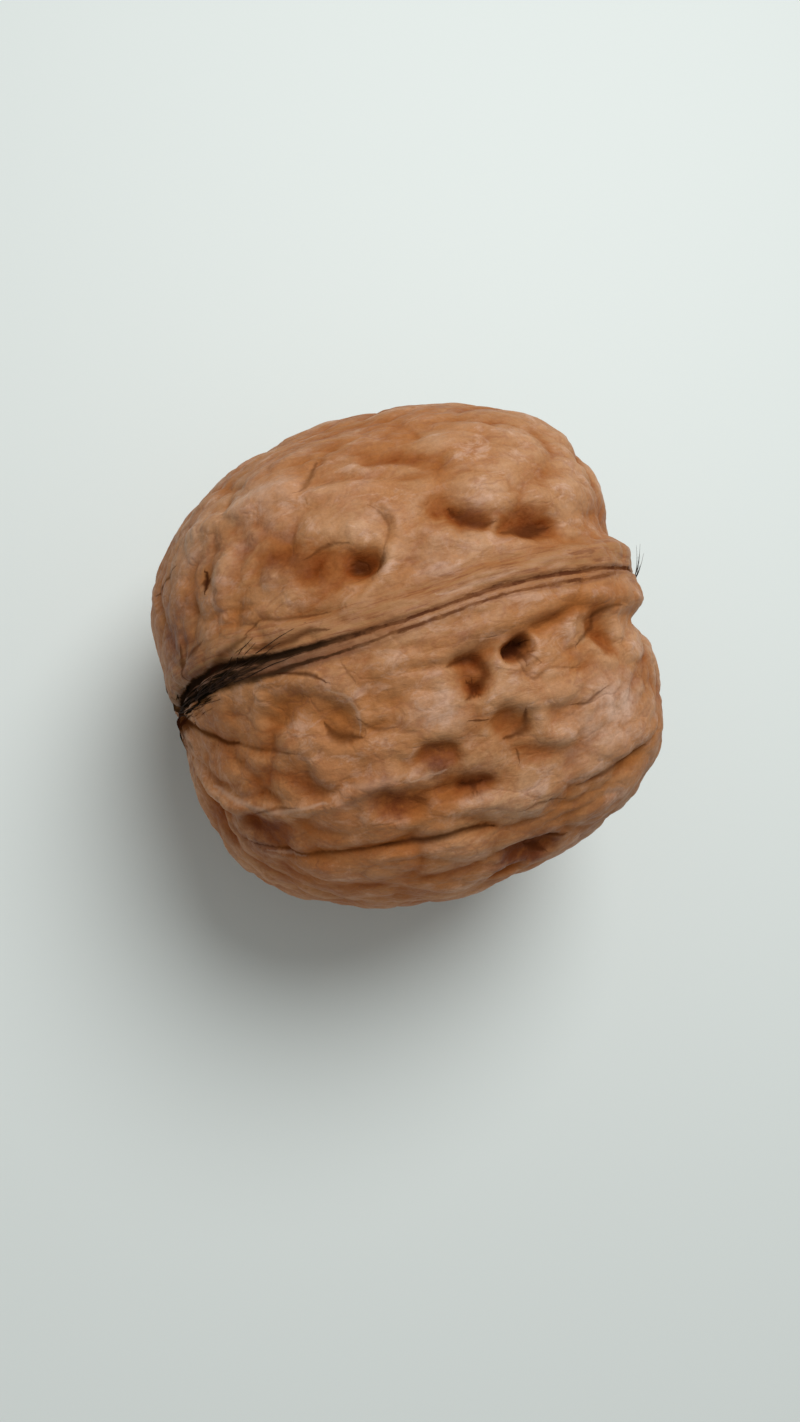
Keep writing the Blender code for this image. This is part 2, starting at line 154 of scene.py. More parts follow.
# Ribs: half width in mm, height in mm, then the places that the rib runs through
RIBS = [
    (1.1, 0.45, [(-72, -48), (-64, -43), (-55, -41.5), (-47, -37.6), (-41.8, -34.2), (-36, -32.4)]),
    (1.1, 0.42, [(-38, -32.9), (-34, -31.8), (-29.7, -29.5), (-24.5, -28), (-19, -27.4), (-14, -28)]),
    (1.6, 0.5, [(-46, 53.5), (-37, 45.5), (-30, 41.6), (-24, 41.8), (-20, 43)]),
    (1.2, 0.3, [(-11, 28), (-9.5, 24), (-10, 20), (-12.5, 16), (-15, 13), (-20, 10.5)]),
    (1.6, 0.2, [(-20, 24.5), (-15.6, 23)]),
    (0.9, 0.22, [(-36, -2.8), (-33, -4), (-29.8, -6.8), (-28.4, -9.3), (-27.7, -12.6), (-27.5, -15.5)]),
    (0.9, 0.3, [(21.5, -5.5), (19.5, -9), (19, -13)]),
    (1.2, 0.25, [(33.5, -8), (33, -11), (32, -15)]),
    (1.4, 0.35, [(-14, -38), (-4, -38), (4, -40), (14, -37)]),
    (1.4, 0.4, [(-48, 22), (-46, 29), (-43, 36)]),
    (0.9, 0.25, [(6.3, -28.7), (10.9, -27.9), (15.6, -28.3)]),
]

# Pale places and dark ones: latitude, longitude, spread in mm, amount, below 0 for dark. Partly the shell's
# own patches and partly painted light: most dark ones sit in pits and hollows as painted shade, and the
# broad pale one at (17, -31) on the right flank is a painted pool of light.
TINTS_AND_PAINTED_LIGHT = [
    (26.7, -27.5, 2.2, 0.6),
    (-13.3, -17.1, 1.8, 0.6),
    (-29.9, 43.6, 2.2, 0.4),
    (-49.1, 47.0, 2.2, 0.3),
    (-19.0, -44.0, 1.2, 0.3),
    (-15.2, -25.7, 1.3, -0.8),
    (-23.6, -34.2, 1.2, -0.7),
    (-8.4, -34.1, 1.4, -0.5),
    (1.3, -23.1, 1.0, -0.35),
    (5.0, -56.3, 1.9, -1.0),
    (6.0, 20.5, 1.5, -0.4),
    (17.0, 16.5, 1.4, -0.4),
    (6.6, -8.7, 0.9, -0.8),
    (-2.4, -58.6, 1.3, -0.6),
    (-3.8, -4.2, 1.7, -0.3),
    (-40.1, -27.0, 1.5, -0.35),
    (-50.6, -47.9, 2.2, -0.7),
    (-64.3, 35.3, 3.2, -0.5),
    (-62.0, 15.0, 1.8, -0.6),
    (-61.9, -69.2, 3.2, -0.3),
    (-6.1, 13.8, 2.2, -0.35),
    (-33.3, 24.1, 1.5, -0.65),
    (-30.3, 32.0, 1.3, 0.25),
    (-39.6, 34.4, 1.3, 0.3),
    (-28.0, -28.4, 1.5, -0.3),
    (-31.0, -35.0, 2.4, -0.2),
    (17.0, -31.0, 3.4, 0.28),
    (-14.0, 36.0, 2.6, 0.2),
]

# Thin pale lines on the crests, partly pinkish scuffs on the shell and partly painted highlight: half width
# in mm, strength, then the places
PALE_LINES_AND_HIGHLIGHTS = [
    (0.14, 0.26, [(-31.3, -6.5), (-29.4, -8.0), (-28.6, -11.0), (-28.1, -13.6), (-28.5, -16.3)]),
    (0.18, 0.35, [
        (-62.6, -38.7), (-57.1, -38.0), (-51.5, -38.8), (-47.4, -37.5), (-43.1, -34.1), (-38.2, -32.1),
    ]),
    (0.28, 0.2, [(-31.9, -27.4), (-28.1, -28.5), (-24.8, -28.0), (-22.5, -27.3)]),
    (0.16, 0.3, [(-49.4, -55.4), (-43.6, -51.5)]),
    (0.2, 0.3, [(-19.5, -28.3), (-15.7, -28.5)]),
    (0.2, 0.25, [(-6.7, 6.7), (2.4, 6.1), (8.6, 6.9)]),
]

# Thin dark lines drawn in the shell: half width in mm, strength, then the places. Many run along the bottoms
# of furrows and in pits, the strongest filling the deep pit at (5.4, -9.1): partly the shell's own dark
# creases and partly painted shade.
DARK_LINES_AND_CREASE_SHADE = [
    (0.25, 0.45, [(-19.2, 45.3), (-20.7, 42.9), (-23.4, 40)]),
    (0.2, 0.5, [(-55, -56.7), (-48, -52.8), (-39.5, -49.1), (-33.7, -46.9), (-27.2, -45.4)]),
    (0.26, 0.8, [(-28, -45.5), (-21.2, -44.7), (-12.5, -43.8), (-6.2, -45.1)]),
    (0.15, 0.8, [(-40, 0.8), (-35.5, -1.5), (-32.8, -3.5)]),
    (0.9, 0.95, [(-86, 0), (-80, -8), (-71, -10)]),
    (0.3, 0.8, [(-72, -9), (-66.6, -12.5), (-61.1, -15), (-56.2, -16.7)]),
    (0.16, 0.4, [(-57, -16.7), (-50.3, -18.9), (-41.9, -19.8)]),
    (0.35, 0.7, [(-35.0, -15.2), (-34.0, -16.6), (-32.3, -17.3), (-29.7, -17.7)]),
    (0.16, 0.45, [(-27.8, -14.8), (-25.8, -17), (-23.5, -16.9)]),
    (0.3, 0.45, [(-14.8, 17.4), (-15.4, 16.3), (-16.2, 15.3)]),
    (0.16, 0.3, [(-13.4, 28), (-11.7, 24.8), (-11.9, 22.6), (-14.2, 18.7)]),
    (0.16, 0.45, [(-28.1, 24.1), (-24.6, 24), (-21, 23.2)]),
    (0.45, 0.6, [(3, 22.7), (4.9, 21.1), (7.3, 19.4), (9, 18.8)]),
    (0.5, 0.6, [(12.8, 15.7), (17.8, 15.2), (22.3, 15.8)]),
    (0.85, 1.0, [(5.4, -9.1), (7.8, -8.5)]),
    (0.12, 0.3, [(5.4, -9.8), (6, -13.2), (7.8, -15.5), (11.2, -14.1), (17.4, -16.9)]),
    (0.14, 0.4, [(7.6, -10), (8.6, -11), (9.8, -12.6)]),
    (0.4, 0.6, [(-8.5, -8.1), (-3.7, -8.5), (-1.5, -11.2), (-2.8, -12.9), (-5.5, -14.8)]),
    (0.45, 0.7, [(-5, -13), (-4.5, -14.2)]),
    (0.35, 0.7, [(4.3, -22.8), (3.6, -25.1), (1, -25.8)]),
    (0.45, 0.7, [(-9.8, -34.2), (-7.6, -34.3)]),
    (0.35, 0.6, [(1, -53.5), (5.6, -54), (10.9, -56)]),
    (0.45, 0.6, [(3.2, -56.6), (6.4, -59)]),
    (0.22, 0.6, [(20.5, -11.9), (27.5, -9.6), (27.4, -6.8), (30, -5.9), (33.8, -6.3)]),
    (0.25, 0.5, [(14.2, -41.3), (18.8, -42.3), (26, -42.5), (31.9, -42.4)]),
    (0.13, 0.6, [(15.6, -24.1), (18.4, -24.7), (22.5, -23.1)]),
    (0.13, 0.5, [(0.5, -41), (4.6, -41), (9.4, -43.2)]),
    (0.1, 0.8, [(-6.7, -20.1), (-4.2, -20.6)]),
    (0.12, 0.6, [(1.2, -29.3), (1.2, -31)]),
    (0.13, 0.5, [(-52, -41.5), (-47.7, -36.5), (-44.4, -34.3)]),
    (0.14, 0.5, [(-44.2, 13.6), (-41.3, 15.1), (-38.4, 13.8), (-34.7, 12.6), (-30.1, 11.5)]),
    (0.14, 0.35, [(-28.9, -2.7), (-27.8, -4.8)]),
    (0.18, 0.6, [(-54.1, 53.3), (-57.1, 57.1), (-61.8, 66.5)]),
    (0.4, 1.0, [(-48.2, 37), (-49, 33.5)]),
    (0.3, 0.7, [(-43, 8.8), (-37, 7.4), (-33.8, 7.7), (-30.8, 7.2)]),
    (0.3, 0.6, [(-58.5, 8.7), (-51.5, 11.8), (-45.9, 12.1)]),
    (0.5, 0.6, [(-65, 18), (-63.6, 24.3)]),
    (0.3, 0.55, [(-60, 19.7), (-55.9, 19.8)]),
]

# The sides that the nut hides from above get more pits, furrows and ribs, spread evenly
HIDDEN_MARKS = 150
HIDDEN_SEED = 11
PITS_UP_TO = 0.42
FURROWS_UP_TO = 0.76
SHOWN_FROM = Vector((-0.27, -0.05, 0.96))
SHOWN_LIMIT = 0.1

# Noise: waves per radius, how far it is drawn out along the nut, and height; for ruffle, shift in radii
UNDULATION = (3.2, 1.6, 0.2 * MM)
PILLOWS = (4.6, 1.7, 0.4 * MM)
WRINKLES = (10.0, 2.0, 0.2 * MM)
FINE_WRINKLES = (24.0, 2.6, 0.07 * MM)
RUFFLE = (7.0, 1.0, 0.022)
CREASE_SHARPNESS = 0.45
CREASE_POWER = 0.75

# How far from a thin line its distance is kept
LINE_REACH = 0.5 * MM

# Colours of the shell, as linear red, green, blue and 1. The first five run from pits to crests by the
# relief; their darkening in hollows and pits is partly the shell's own browner colour and partly painted
# shade.
PIT_BROWN_AND_SHADE = (0.065, 0.015, 0.003, 1.0)
HOLLOW_BROWN_AND_SHADE = (0.19, 0.045, 0.008, 1.0)
SLOPE_ORANGE = (0.285, 0.100, 0.028, 1.0)
PLAIN_TAN = (0.38, 0.180, 0.074, 1.0)
CREST_TAN = (0.49, 0.275, 0.150, 1.0)
PATCH_ORANGE = (0.37, 0.140, 0.038, 1.0)
SCUFF_PINK = (0.55, 0.345, 0.250, 1.0)
BLOTCH_RED = (0.29, 0.098, 0.030, 1.0)
# Partly painted light: the dark tint also stands for shade in pits and the pale one for a pool of light.
PALE_TINT_AND_LIGHT = (0.56, 0.36, 0.26, 1.0)
DARK_TINT_AND_PIT_SHADE = (0.15, 0.042, 0.014, 1.0)
VEIN_BROWN = (0.22, 0.075, 0.034, 1.0)
# Pale lines: partly scuffs on the crests, partly painted highlight.
PALE_LINE_AND_HIGHLIGHT_PINK = (0.58, 0.40, 0.30, 1.0)
# Dark lines: partly the shell's own dark creases, partly painted shade in furrows and pits.
DARK_LINE_AND_SHADE_BROWN = (0.040, 0.009, 0.003, 1.0)

# Colours along the suture and of the dry fibres
BAND_BROWN = (0.27, 0.115, 0.045, 1.0)
BAND_STRAW = (0.36, 0.185, 0.075, 1.0)
STREAK_BROWN = (0.19, 0.066, 0.024, 1.0)
BETWEEN_LINES_BROWN = (0.105, 0.050, 0.032, 1.0)
HAZE_BROWN = (0.17, 0.055, 0.022, 1.0)
INK_BLACK = (0.010, 0.006, 0.003, 1.0)
INK_BROWN = (0.080, 0.024, 0.010, 1.0)
STAIN_BLACK = (0.006, 0.004, 0.002, 1.0)
FIBRE_BLACK = (0.014, 0.008, 0.006, 1.0)
FIBRE_BROWN = (0.060, 0.028, 0.015, 1.0)

# Painted warm shade, redder and darker, on the nut's lower side towards the stem end and the right cheek:
# the direction of it, where it starts and is full, and the factor
WARM_SHADE_TOWARDS = (-0.55, -0.55, -0.5)
WARM_SHADE_FROM = -2.0 * MM
WARM_SHADE_TO = 8.0 * MM
WARM_SHADE_TINT = (1.10, 0.94, 0.75, 1.0)

# Noise in the materials: waves per mm, detail, roughness and distortion
MOTTLE = (0.5, 7.0, 0.66, 0.5)
PATCHES = (0.16, 3.0, 0.6)
SCUFFS = (0.7, 6.0, 0.72, 0.6)
BLOTCHES = (0.42, 5.0, 0.7, 0.9)
TINT_BLOTCHES = (0.9, 5.0, 0.65)
VEIN_GAPS = (0.45, 4.0)
GRAIN = (4.0, 4.0, 0.7)
SEAM_WOBBLE = (2.2, 6.0, 0.62)
SEAM_NIBBLES = (1.5, 4.0, 0.7)
SEAM_FIBRES = (3.0, 5.0, 0.7)
LINE_FADES = (0.55, 4.0, 0.65)
LINE_WAVER = (0.8, 3.0)
SCAR_EDGE = (0.7, 4.0, 0.55, 0.3)
POLISH = (1.2, 3.0, 0.6)
SKIN_WRINKLES = (1.3, 5.0, 0.6, 0.4)
PORES = (7.0, 3.0, 0.6)
FIBRE_SHADE = (2.0, 3.0, 0.6)

# The net of veins: how it is drawn out along the nut, cells per mm and how far its edges wander
VEIN_STRETCH = (1.5, 1.0, 1.0)
VEIN_CELLS = (0.5, 1.3)

# The suture's colours, in mm: the band lies to the left of the seam and the second line to its right.
# An edge holds the distance where the colour starts and the one where it is full.
BAND_MIDDLE = 0.7
BAND_EDGE = (2.2, 0.5)
BETWEEN_LINES_MIDDLE = -0.45
BETWEEN_LINES_EDGE = (0.9, 0.5)
CRACK_LINE_HALF_WIDTH = 0.17
CRACK_LINE_HALF_WIDTH_AT_STEM = 0.38
SECOND_LINE_GAP = 0.78
SECOND_LINE_GAP_AT_STEM = 1.1
SECOND_LINE_HALF_WIDTH = 0.17
SECOND_LINE_HALF_WIDTH_AT_STEM = 0.6
HAZE_EDGE = (0.42, 0.1)
STAIN_REACH = 0.2
STAIN_REACH_AT_STEM = 1.7

# Heights, from the nut's middle, where the black stain and ink end and where they are full
STAIN_BOTTOM = (-6.0 * MM, -3.0 * MM)

# Heights of the relief that the material adds
PORE_HEIGHT = 0.02 * MM
VEIN_HEIGHT = 0.04 * MM
SKIN_WRINKLE_HEIGHT = 0.2 * MM

# Dry fibres of the husk: seeds, how many, points along each, radius and where the hairs start
STEM_SEED = 3
STEM_STRANDS = 26
STEM_STRAND_POINTS = 9
STEM_STRAND_RADIUS = 0.045 * MM
TIP_SEED = 8
TIP_HAIRS = 8
TIP_HAIR_POINTS = 7
TIP_HAIR_RADIUS = 0.03 * MM
TIP_HAIR_ROOT = (54, 0)

# The floor and the light
FLOOR_REACH = 0.6
FLOOR_PALE = (0.67, 0.735, 0.735, 1.0)
WINDOW_RIGHT = 0.34
WINDOW_UP = 0.62
WINDOW_BACK = 0.72
WINDOW_DISTANCE = 0.27
WINDOW_SIZE = 0.18
WINDOW_WATTS = 0.64
WINDOW_WHITE = (1.0, 0.985, 0.96)
SKY_WHITE = (0.99, 0.98, 0.94, 1.0)
SKY_STRENGTH = 0.36

# The photograph's frame, in pixels, and where the middle of the nut is in it
IMAGE_WIDTH = 800
IMAGE_HEIGHT = 1422
NUT_X = 410
NUT_Y = 652

# The camera: distance, lens, how far it is turned from straight above the suture, and the roll
CAMERA_DISTANCE = 88.7 * MM
FOCAL_PIXELS = 1107.0
SENSOR_WIDTH = 36.0
CLIP_START = 5.0 * MM
TURN_TO_STEM = math.radians(16)
TURN_TO_RIGHT_CHEEK = math.radians(3)
ROLL = math.radians(16)


def smoothstep(amount):
    amount = np.clip(amount, 0.0, 1.0)
    return amount * amount * (3.0 - 2.0 * amount)


def bell(amount):
    """1 at 0, falling off smoothly on both sides."""
    return np.exp(-(amount**2))


def on_globe(latitude, longitude):
    """The direction of a place, from the middle of the nut."""
    lat, lon = math.radians(latitude), math.radians(longitude)
    return Vector((math.sin(lat), math.cos(lat) * math.sin(lon), math.cos(lat) * math.cos(lon)))


def latitudes(directions):
    return np.degrees(np.arcsin(np.clip(directions[:, 0], -1.0, 1.0)))


def noise_at(directions, waves, stretch, seed):
    """Smooth noise from about -1 to 1 for each direction."""
    places = directions * np.array([waves / stretch, waves, waves]) + 17.0 * seed
    return np.array([noise.noise(Vector(place)) for place in places])


def creased(values):
    """Noise folded into rounded pillows with creases between them, from about -0.6 to 0.4."""
    return np.clip(np.abs(values) / CREASE_SHARPNESS, 0.0, 1.0) ** CREASE_POWER - 0.6


def seam_offset(directions):
    """How far the seam wanders to the left of the suture plane."""
    latitude = latitudes(directions)
    above = 0.4 + 0.65 * smoothstep((60.0 - latitude) / 40.0)
    above += 0.45 * bell((latitude - 6.0) / 14.0)
    above += 0.65 * bell((latitude + 55.0) / 12.0)
    below = -0.2 - 0.7 * bell((latitude + 12.0) / 26.0)
    ends = smoothstep((90.0 - np.abs(latitude)) / 20.0)
    return np.where(directions[:, 2] > 0.0, above, below) * ends * MM


def globe(rows):
    """Unit directions and faces of a cube blown up into a globe, with a row of points on the seam."""
    mesh = bmesh.new()
    bmesh.ops.create_cube(mesh, size=2.0)
    bmesh.ops.subdivide_edges(mesh, edges=mesh.edges, cuts=rows - 1, use_grid_fill=True)
    mesh.verts.ensure_lookup_table()
    cube = np.array([vertex.co for vertex in mesh.verts])
    faces = [[vertex.index for vertex in face.verts] for face in mesh.faces]
    mesh.free()
    cube[:, 1] *= 1.0 - SUTURE_CROWDING + SUTURE_CROWDING * np.abs(cube[:, 1])
    cube = np.tan(cube * math.pi / 4.0)
    directions = cube / np.linalg.norm(cube, axis=1)[:, None]
    fade = bell(directions[:, 1] * MEAN_RADIUS / (6.0 * MM))
    directions[:, 1] += seam_offset(directions) * fade / MEAN_RADIUS
    return directions / np.linalg.norm(directions, axis=1)[:, None], faces


def plain_radius(directions):
    """Distance from the middle to the plain form: squarish along the nut and rounder across it."""
    x, y, z = np.abs(directions).T
    lengthways = x / np.where(directions[:, 0] > 0.0, TIP_REACH, STEM_REACH)
    sideways = y / np.where(directions[:, 1] > 0.0, LEFT_REACH, RIGHT_REACH)
    across = (sideways**SECTION_POWER + (z / SUTURE_REACH) ** SECTION_POWER) ** (1.0 / SECTION_POWER)
    return (lengthways**PROFILE_POWER + across**PROFILE_POWER) ** (-1.0 / PROFILE_POWER)


def smooth_path(places):
    """Points about half a millimetre apart on a smooth curve through the places, on the unit globe."""
    marks = [on_globe(*place) for place in places]
    marks = [2 * marks[0] - marks[1], *marks, 2 * marks[-1] - marks[-2]]
    path = []
    for before, start, end, after in zip(marks, marks[1:], marks[2:], marks[3:]):
        steps = max(2, round((end - start).length * MEAN_RADIUS / (0.5 * MM)))
        for step in range(steps):
            t = step / steps
            bend = (3 * start - before - 3 * end + after) * t**3
            bend += (2 * before - 5 * start + 4 * end - after) * t**2
            path.append((2 * start + (end - before) * t + bend) / 2)
    path.append(marks[-2])
    return np.array([point.normalized() for point in path])


def distance_to(directions, path, reach):
    """The points near a path, how far to its left each one is, and its share of the way along."""
    middle = path[len(path) // 2]
    spread = np.linalg.norm(path - middle, axis=1).max() + reach / MEAN_RADIUS
    near = np.flatnonzero(((directions - middle) ** 2).sum(axis=1) < spread**2)
    closest = np.linalg.norm(directions[near, None, :] - path[None, :, :], axis=2).argmin(axis=1)
    heading = np.gradient(path, axis=0)[closest]
    offset = directions[near] - path[closest]
    slide = (offset * heading).sum(axis=1) / (heading**2).sum(axis=1)
    offset -= np.clip(slide, -0.5, 0.5)[:, None] * heading
    side = np.sign((np.cross(path[closest], heading) * offset).sum(axis=1))
    return near, side * np.linalg.norm(offset, axis=1) * MEAN_RADIUS, closest / (len(path) - 1)


def pit_shape(gap):
    """Steep walls round a flat floor, with a slight rim; the gap is in half widths."""
    return 0.12 * bell((gap - 1.2) / 0.25) - smoothstep(1.15 * (1.0 - gap))


def furrow_shape(gap):
    return -(np.clip(1.0 - gap, 0.0, 1.0) ** 1.3)


def rib_shape(gap):
    return smoothstep(1.0 - gap)


def taper_at(along):
    """The share of its width and height that a mark has there: 1 in the middle, about 0.4 at its ends."""
    return 0.3 + 0.7 * np.sqrt(np.sin(math.pi * np.clip(along, 0.01, 0.99)))


def add_marks(heights, directions, marks, shape, tapered):
    """Adds each mark of a list to the heights. A tapered mark narrows and flattens to its ends."""
    for half_width, height, places in marks:
        near, gap, along = distance_to(directions, smooth_path(places), 1.8 * half_width * MM)
        taper = taper_at(along) if tapered else 1.0
        heights[near] += height * MM * taper * shape(np.abs(gap) / (half_width * MM * taper))


def wander(start, heading, length, steps, draw):
    """Places on a line that wanders over the shell from a start."""
    places = []
    point = start.copy()
    for _ in range(steps + 1):
        longitude = math.degrees(math.atan2(point.y, point.z))
        places.append((math.degrees(math.asin(point.x)), longitude))
        north = (Vector((1, 0, 0)) - point * point.x).normalized()
        ahead = north * math.cos(heading) + point.cross(north) * math.sin(heading)
        point = (point + ahead * (length / steps / MEAN_RADIUS)).normalized()
        heading += draw.uniform(-0.5, 0.5)
    return places


def hidden_marks():
    """Pits, furrows and ribs for the sides and underside, spread on a spiral and shifted at random."""
    draw = random.Random(HIDDEN_SEED)
    pits, furrows, ribs = [], [], []
    golden_angle = math.pi * (3.0 - math.sqrt(5.0))
    for number in range(HIDDEN_MARKS):
        x = 1.0 - (2.0 * number + 1.0) / HIDDEN_MARKS
        ring = math.sqrt(1.0 - x * x)
        turn = golden_angle * number
        shift = Vector([draw.uniform(-0.07, 0.07) for _ in range(3)])
        start = (Vector((x, ring * math.sin(turn), ring * math.cos(turn))) + shift).normalized()
        kind, size, slant = draw.random(), draw.random(), draw.uniform(-0.6, 0.6)
        if start.dot(SHOWN_FROM) > SHOWN_LIMIT or abs(start.x) > 0.95 or abs(start.y) < 0.13:
            continue
        if kind < PITS_UP_TO:
            places = wander(start, slant, (0.8 + 2.4 * size) * MM, 2, draw)
            pits.append((0.9 + 0.7 * size, 0.5 + 0.7 * draw.random(), places))
        elif kind < FURROWS_UP_TO:
            places = wander(start, slant, (4.0 + 7.0 * size) * MM, 4, draw)
            furrows.append((0.8 + 0.5 * size, 0.4 + 0.4 * draw.random(), places))
        else:
            places = wander(start, slant, (4.0 + 6.0 * size) * MM, 4, draw)
            ribs.append((1.1 + 0.5 * size, 0.35 + 0.25 * draw.random(), places))
    return pits, furrows, ribs


def mound(directions, latitude, longitude, spread):
    """1 at a place, falling off smoothly round it over a spread in mm."""
    gap = np.linalg.norm(directions - np.array(on_globe(latitude, longitude)), axis=1) * MEAN_RADIUS
    return bell(gap / (spread * MM))


def form_relief(directions):
    """Broad swellings, and the noise that makes the whole surface uneven."""
    heights = UNDULATION[2] * noise_at(directions, *UNDULATION[:2], 4)
    for latitude, longitude, spread, height in SWELLINGS:
        heights += height * MM * mound(directions, latitude, longitude, spread)
    return heights


def from_seam(directions):
    """How far to the left of the seam each place is."""
    return directions[:, 1] * MEAN_RADIUS - seam_offset(directions)


def suture_relief(directions):
    """The raised band with its troughs and lips, the beak at the tip, the crack and the stem scar."""
    latitude = latitudes(directions)
    across = directions[:, 1] * MEAN_RADIUS - BAND_FOLLOWS_SEAM * seam_offset(directions)
    half_width = BAND_HALF_WIDTH + BAND_WIDENING * smoothstep((latitude - 15.0) / 45.0)
    towards_tip = smoothstep((latitude + 30.0) / 80.0)
    band_height = BAND_HEIGHT_AT_STEM + (BAND_HEIGHT_AT_TIP - BAND_HEIGHT_AT_STEM) * towards_tip
    heights = band_height * smoothstep((half_width - np.abs(across)) / BAND_FLANK + 0.5)
    trough = bell((np.abs(across) - TROUGH_OFFSET) / TROUGH_SPREAD)
    heights -= TROUGH_DEPTH * trough * (0.25 + 0.75 * towards_tip)
    seam_gap = np.abs(from_seam(directions))
    heights -= LIP_GROOVE_DEPTH * bell(seam_gap / LIP_GROOVE_HALF_WIDTH) * towards_tip
    at_stem = smoothstep((-latitude - 35.0) / 40.0)
    crack_width = CRACK_HALF_WIDTH + (CRACK_HALF_WIDTH_AT_STEM - CRACK_HALF_WIDTH) * at_stem
    crack_depth = CRACK_DEPTH + (CRACK_DEPTH_AT_STEM - CRACK_DEPTH) * at_stem
    heights -= crack_depth * np.clip(1.0 - seam_gap / crack_width, 0.0, 1.0)
    end_gap = np.linalg.norm(np.abs(directions) - np.array([1.0, 0.0, 0.0]), axis=1) * MEAN_RADIUS
    beak = BEAK_HEIGHT * bell(end_gap / BEAK_SPREAD)
    scar = SCAR_DEPTH * smoothstep(1.0 - end_gap / SCAR_RADIUS)
    return heights + np.where(directions[:, 0] > 0.0, beak, -scar)


def ruffled(directions):
    """The directions nudged by noise, so that nothing drawn at them has a straight edge."""
    ruffle = np.stack([noise_at(directions, *RUFFLE[:2], seed) for seed in (1, 2, 3)], axis=1)
    nudged = directions + RUFFLE[2] * ruffle
    return nudged / np.linalg.norm(nudged, axis=1)[:, None]


def surface_relief(directions):
    """Pillows and wrinkles, then the pits, furrows and ribs with ruffled edges."""
    across = np.abs(directions[:, 1] * MEAN_RADIUS)
    off_band = 0.3 + 0.7 * smoothstep((across - BAND_HALF_WIDTH) / (2.0 * MM))
    nudged = ruffled(directions)
    heights = PILLOWS[2] * creased(noise_at(nudged, *PILLOWS[:2], 5)) * off_band
    heights += WRINKLES[2] * creased(noise_at(nudged, *WRINKLES[:2], 6))
    heights += FINE_WRINKLES[2] * creased(noise_at(nudged, *FINE_WRINKLES[:2], 7))
    more_pits, more_furrows, more_ribs = hidden_marks()
    add_marks(heights, nudged, RIBS + more_ribs, rib_shape, tapered=True)
    add_marks(heights, nudged, FURROWS + more_furrows, furrow_shape, tapered=True)
    add_marks(heights, nudged, PITS + more_pits, pit_shape, tapered=False)
    return heights


def tints(directions):
    """How pale and pinkish, above 0, or dark and reddish, below 0, the shell is painted at each place:
    partly its own patches, partly painted light and shade.
    """
    nudged = ruffled(directions)
    amounts = np.zeros(len(directions))
    for latitude, longitude, spread, amount in TINTS_AND_PAINTED_LIGHT:
        amounts += amount * mound(nudged, latitude, longitude, spread)
    return amounts


def nearest_line(directions, lines):
    """The nearest thin line to each place: the distance to it, its half width and its strength."""
    count = len(directions)
    side = np.full(count, 2.0 * LINE_REACH)
    width = np.full(count, 0.2 * MM)
    strength = np.zeros(count)
    nearest = np.full(count, LINE_REACH)
    nudged = ruffled(directions)
    for half_width, amount, places in lines:
        near, gap, along = distance_to(nudged, smooth_path(places), half_width * MM + LINE_REACH)
        taper = taper_at(along)
        beyond = np.abs(gap) - half_width * MM * taper
        better = beyond < nearest[near]
        near, gap, taper, beyond = near[better], gap[better], taper[better], beyond[better]
        nearest[near], side[near], width[near] = beyond, gap, half_width * MM * taper
        strength[near] = amount * smoothstep(1.6 - 2.6 * beyond / LINE_REACH)
    return side, width, strength


def worn_flat(points):
    """Moves whatever reaches below the resting plane, or all but reaches it, onto that plane."""
    down = np.array([0.0, -math.sin(LEAN), -math.cos(LEAN)])
    excess = points @ down - REST_DEPTH
    return points - np.outer(np.where(excess > -FLAT_SLACK, excess, 0.0), down)


def shell_points(directions, relief):
    radius = plain_radius(directions) + form_relief(directions) + suture_relief(directions) + relief
    return worn_flat(directions * radius[:, None])


def shell():
    """The dressed nut, with what its material reads at each point: tint, relief, seam and thin lines."""
    directions, faces = globe(ROWS)
    relief = surface_relief(directions)
    mesh = bpy.data.meshes.new("walnut_shell")
    mesh.from_pydata(shell_points(directions, relief).tolist(), [], faces)
    mesh.shade_smooth()
    facts = {
        "tint": tints(directions),
        "relief_mm": relief / MM,
        "from_seam_mm": from_seam(directions) / MM,
        "latitude": latitudes(directions),
    }
    for kind, lines in (("dark", DARK_LINES_AND_CREASE_SHADE), ("pale", PALE_LINES_AND_HIGHLIGHTS)):
        side, width, strength = nearest_line(directions, lines)
        facts[f"{kind}_side_mm"] = side / MM
        facts[f"{kind}_width_mm"] = width / MM
        facts[f"{kind}_strength"] = strength
    for name, values in facts.items():
        mesh.attributes.new(name, "FLOAT", "POINT").data.foreach_set("value", values.astype(np.float32))
    nut = bpy.data.objects.new("walnut_shell", mesh)
    bpy.context.scene.collection.objects.link(nut)
    stand(nut)
    return nut


def stand(nut):
    """Leans the nut over and stands it on the floor, with the middle of its outline at the origin."""
    lean = Matrix.Rotation(LEAN, 3, "X")
    points = np.empty(len(nut.data.vertices) * 3)
    nut.data.vertices.foreach_get("co", points)
    leaned = points.reshape(-1, 3) @ np.array(lean).T
    middle = (leaned.min(axis=0) + leaned.max(axis=0)) / 2.0
    nut.rotation_euler.x = LEAN
    nut.location = (-middle[0], -middle[1], REST_DEPTH)
    bpy.context.view_layer.update()


# Materials


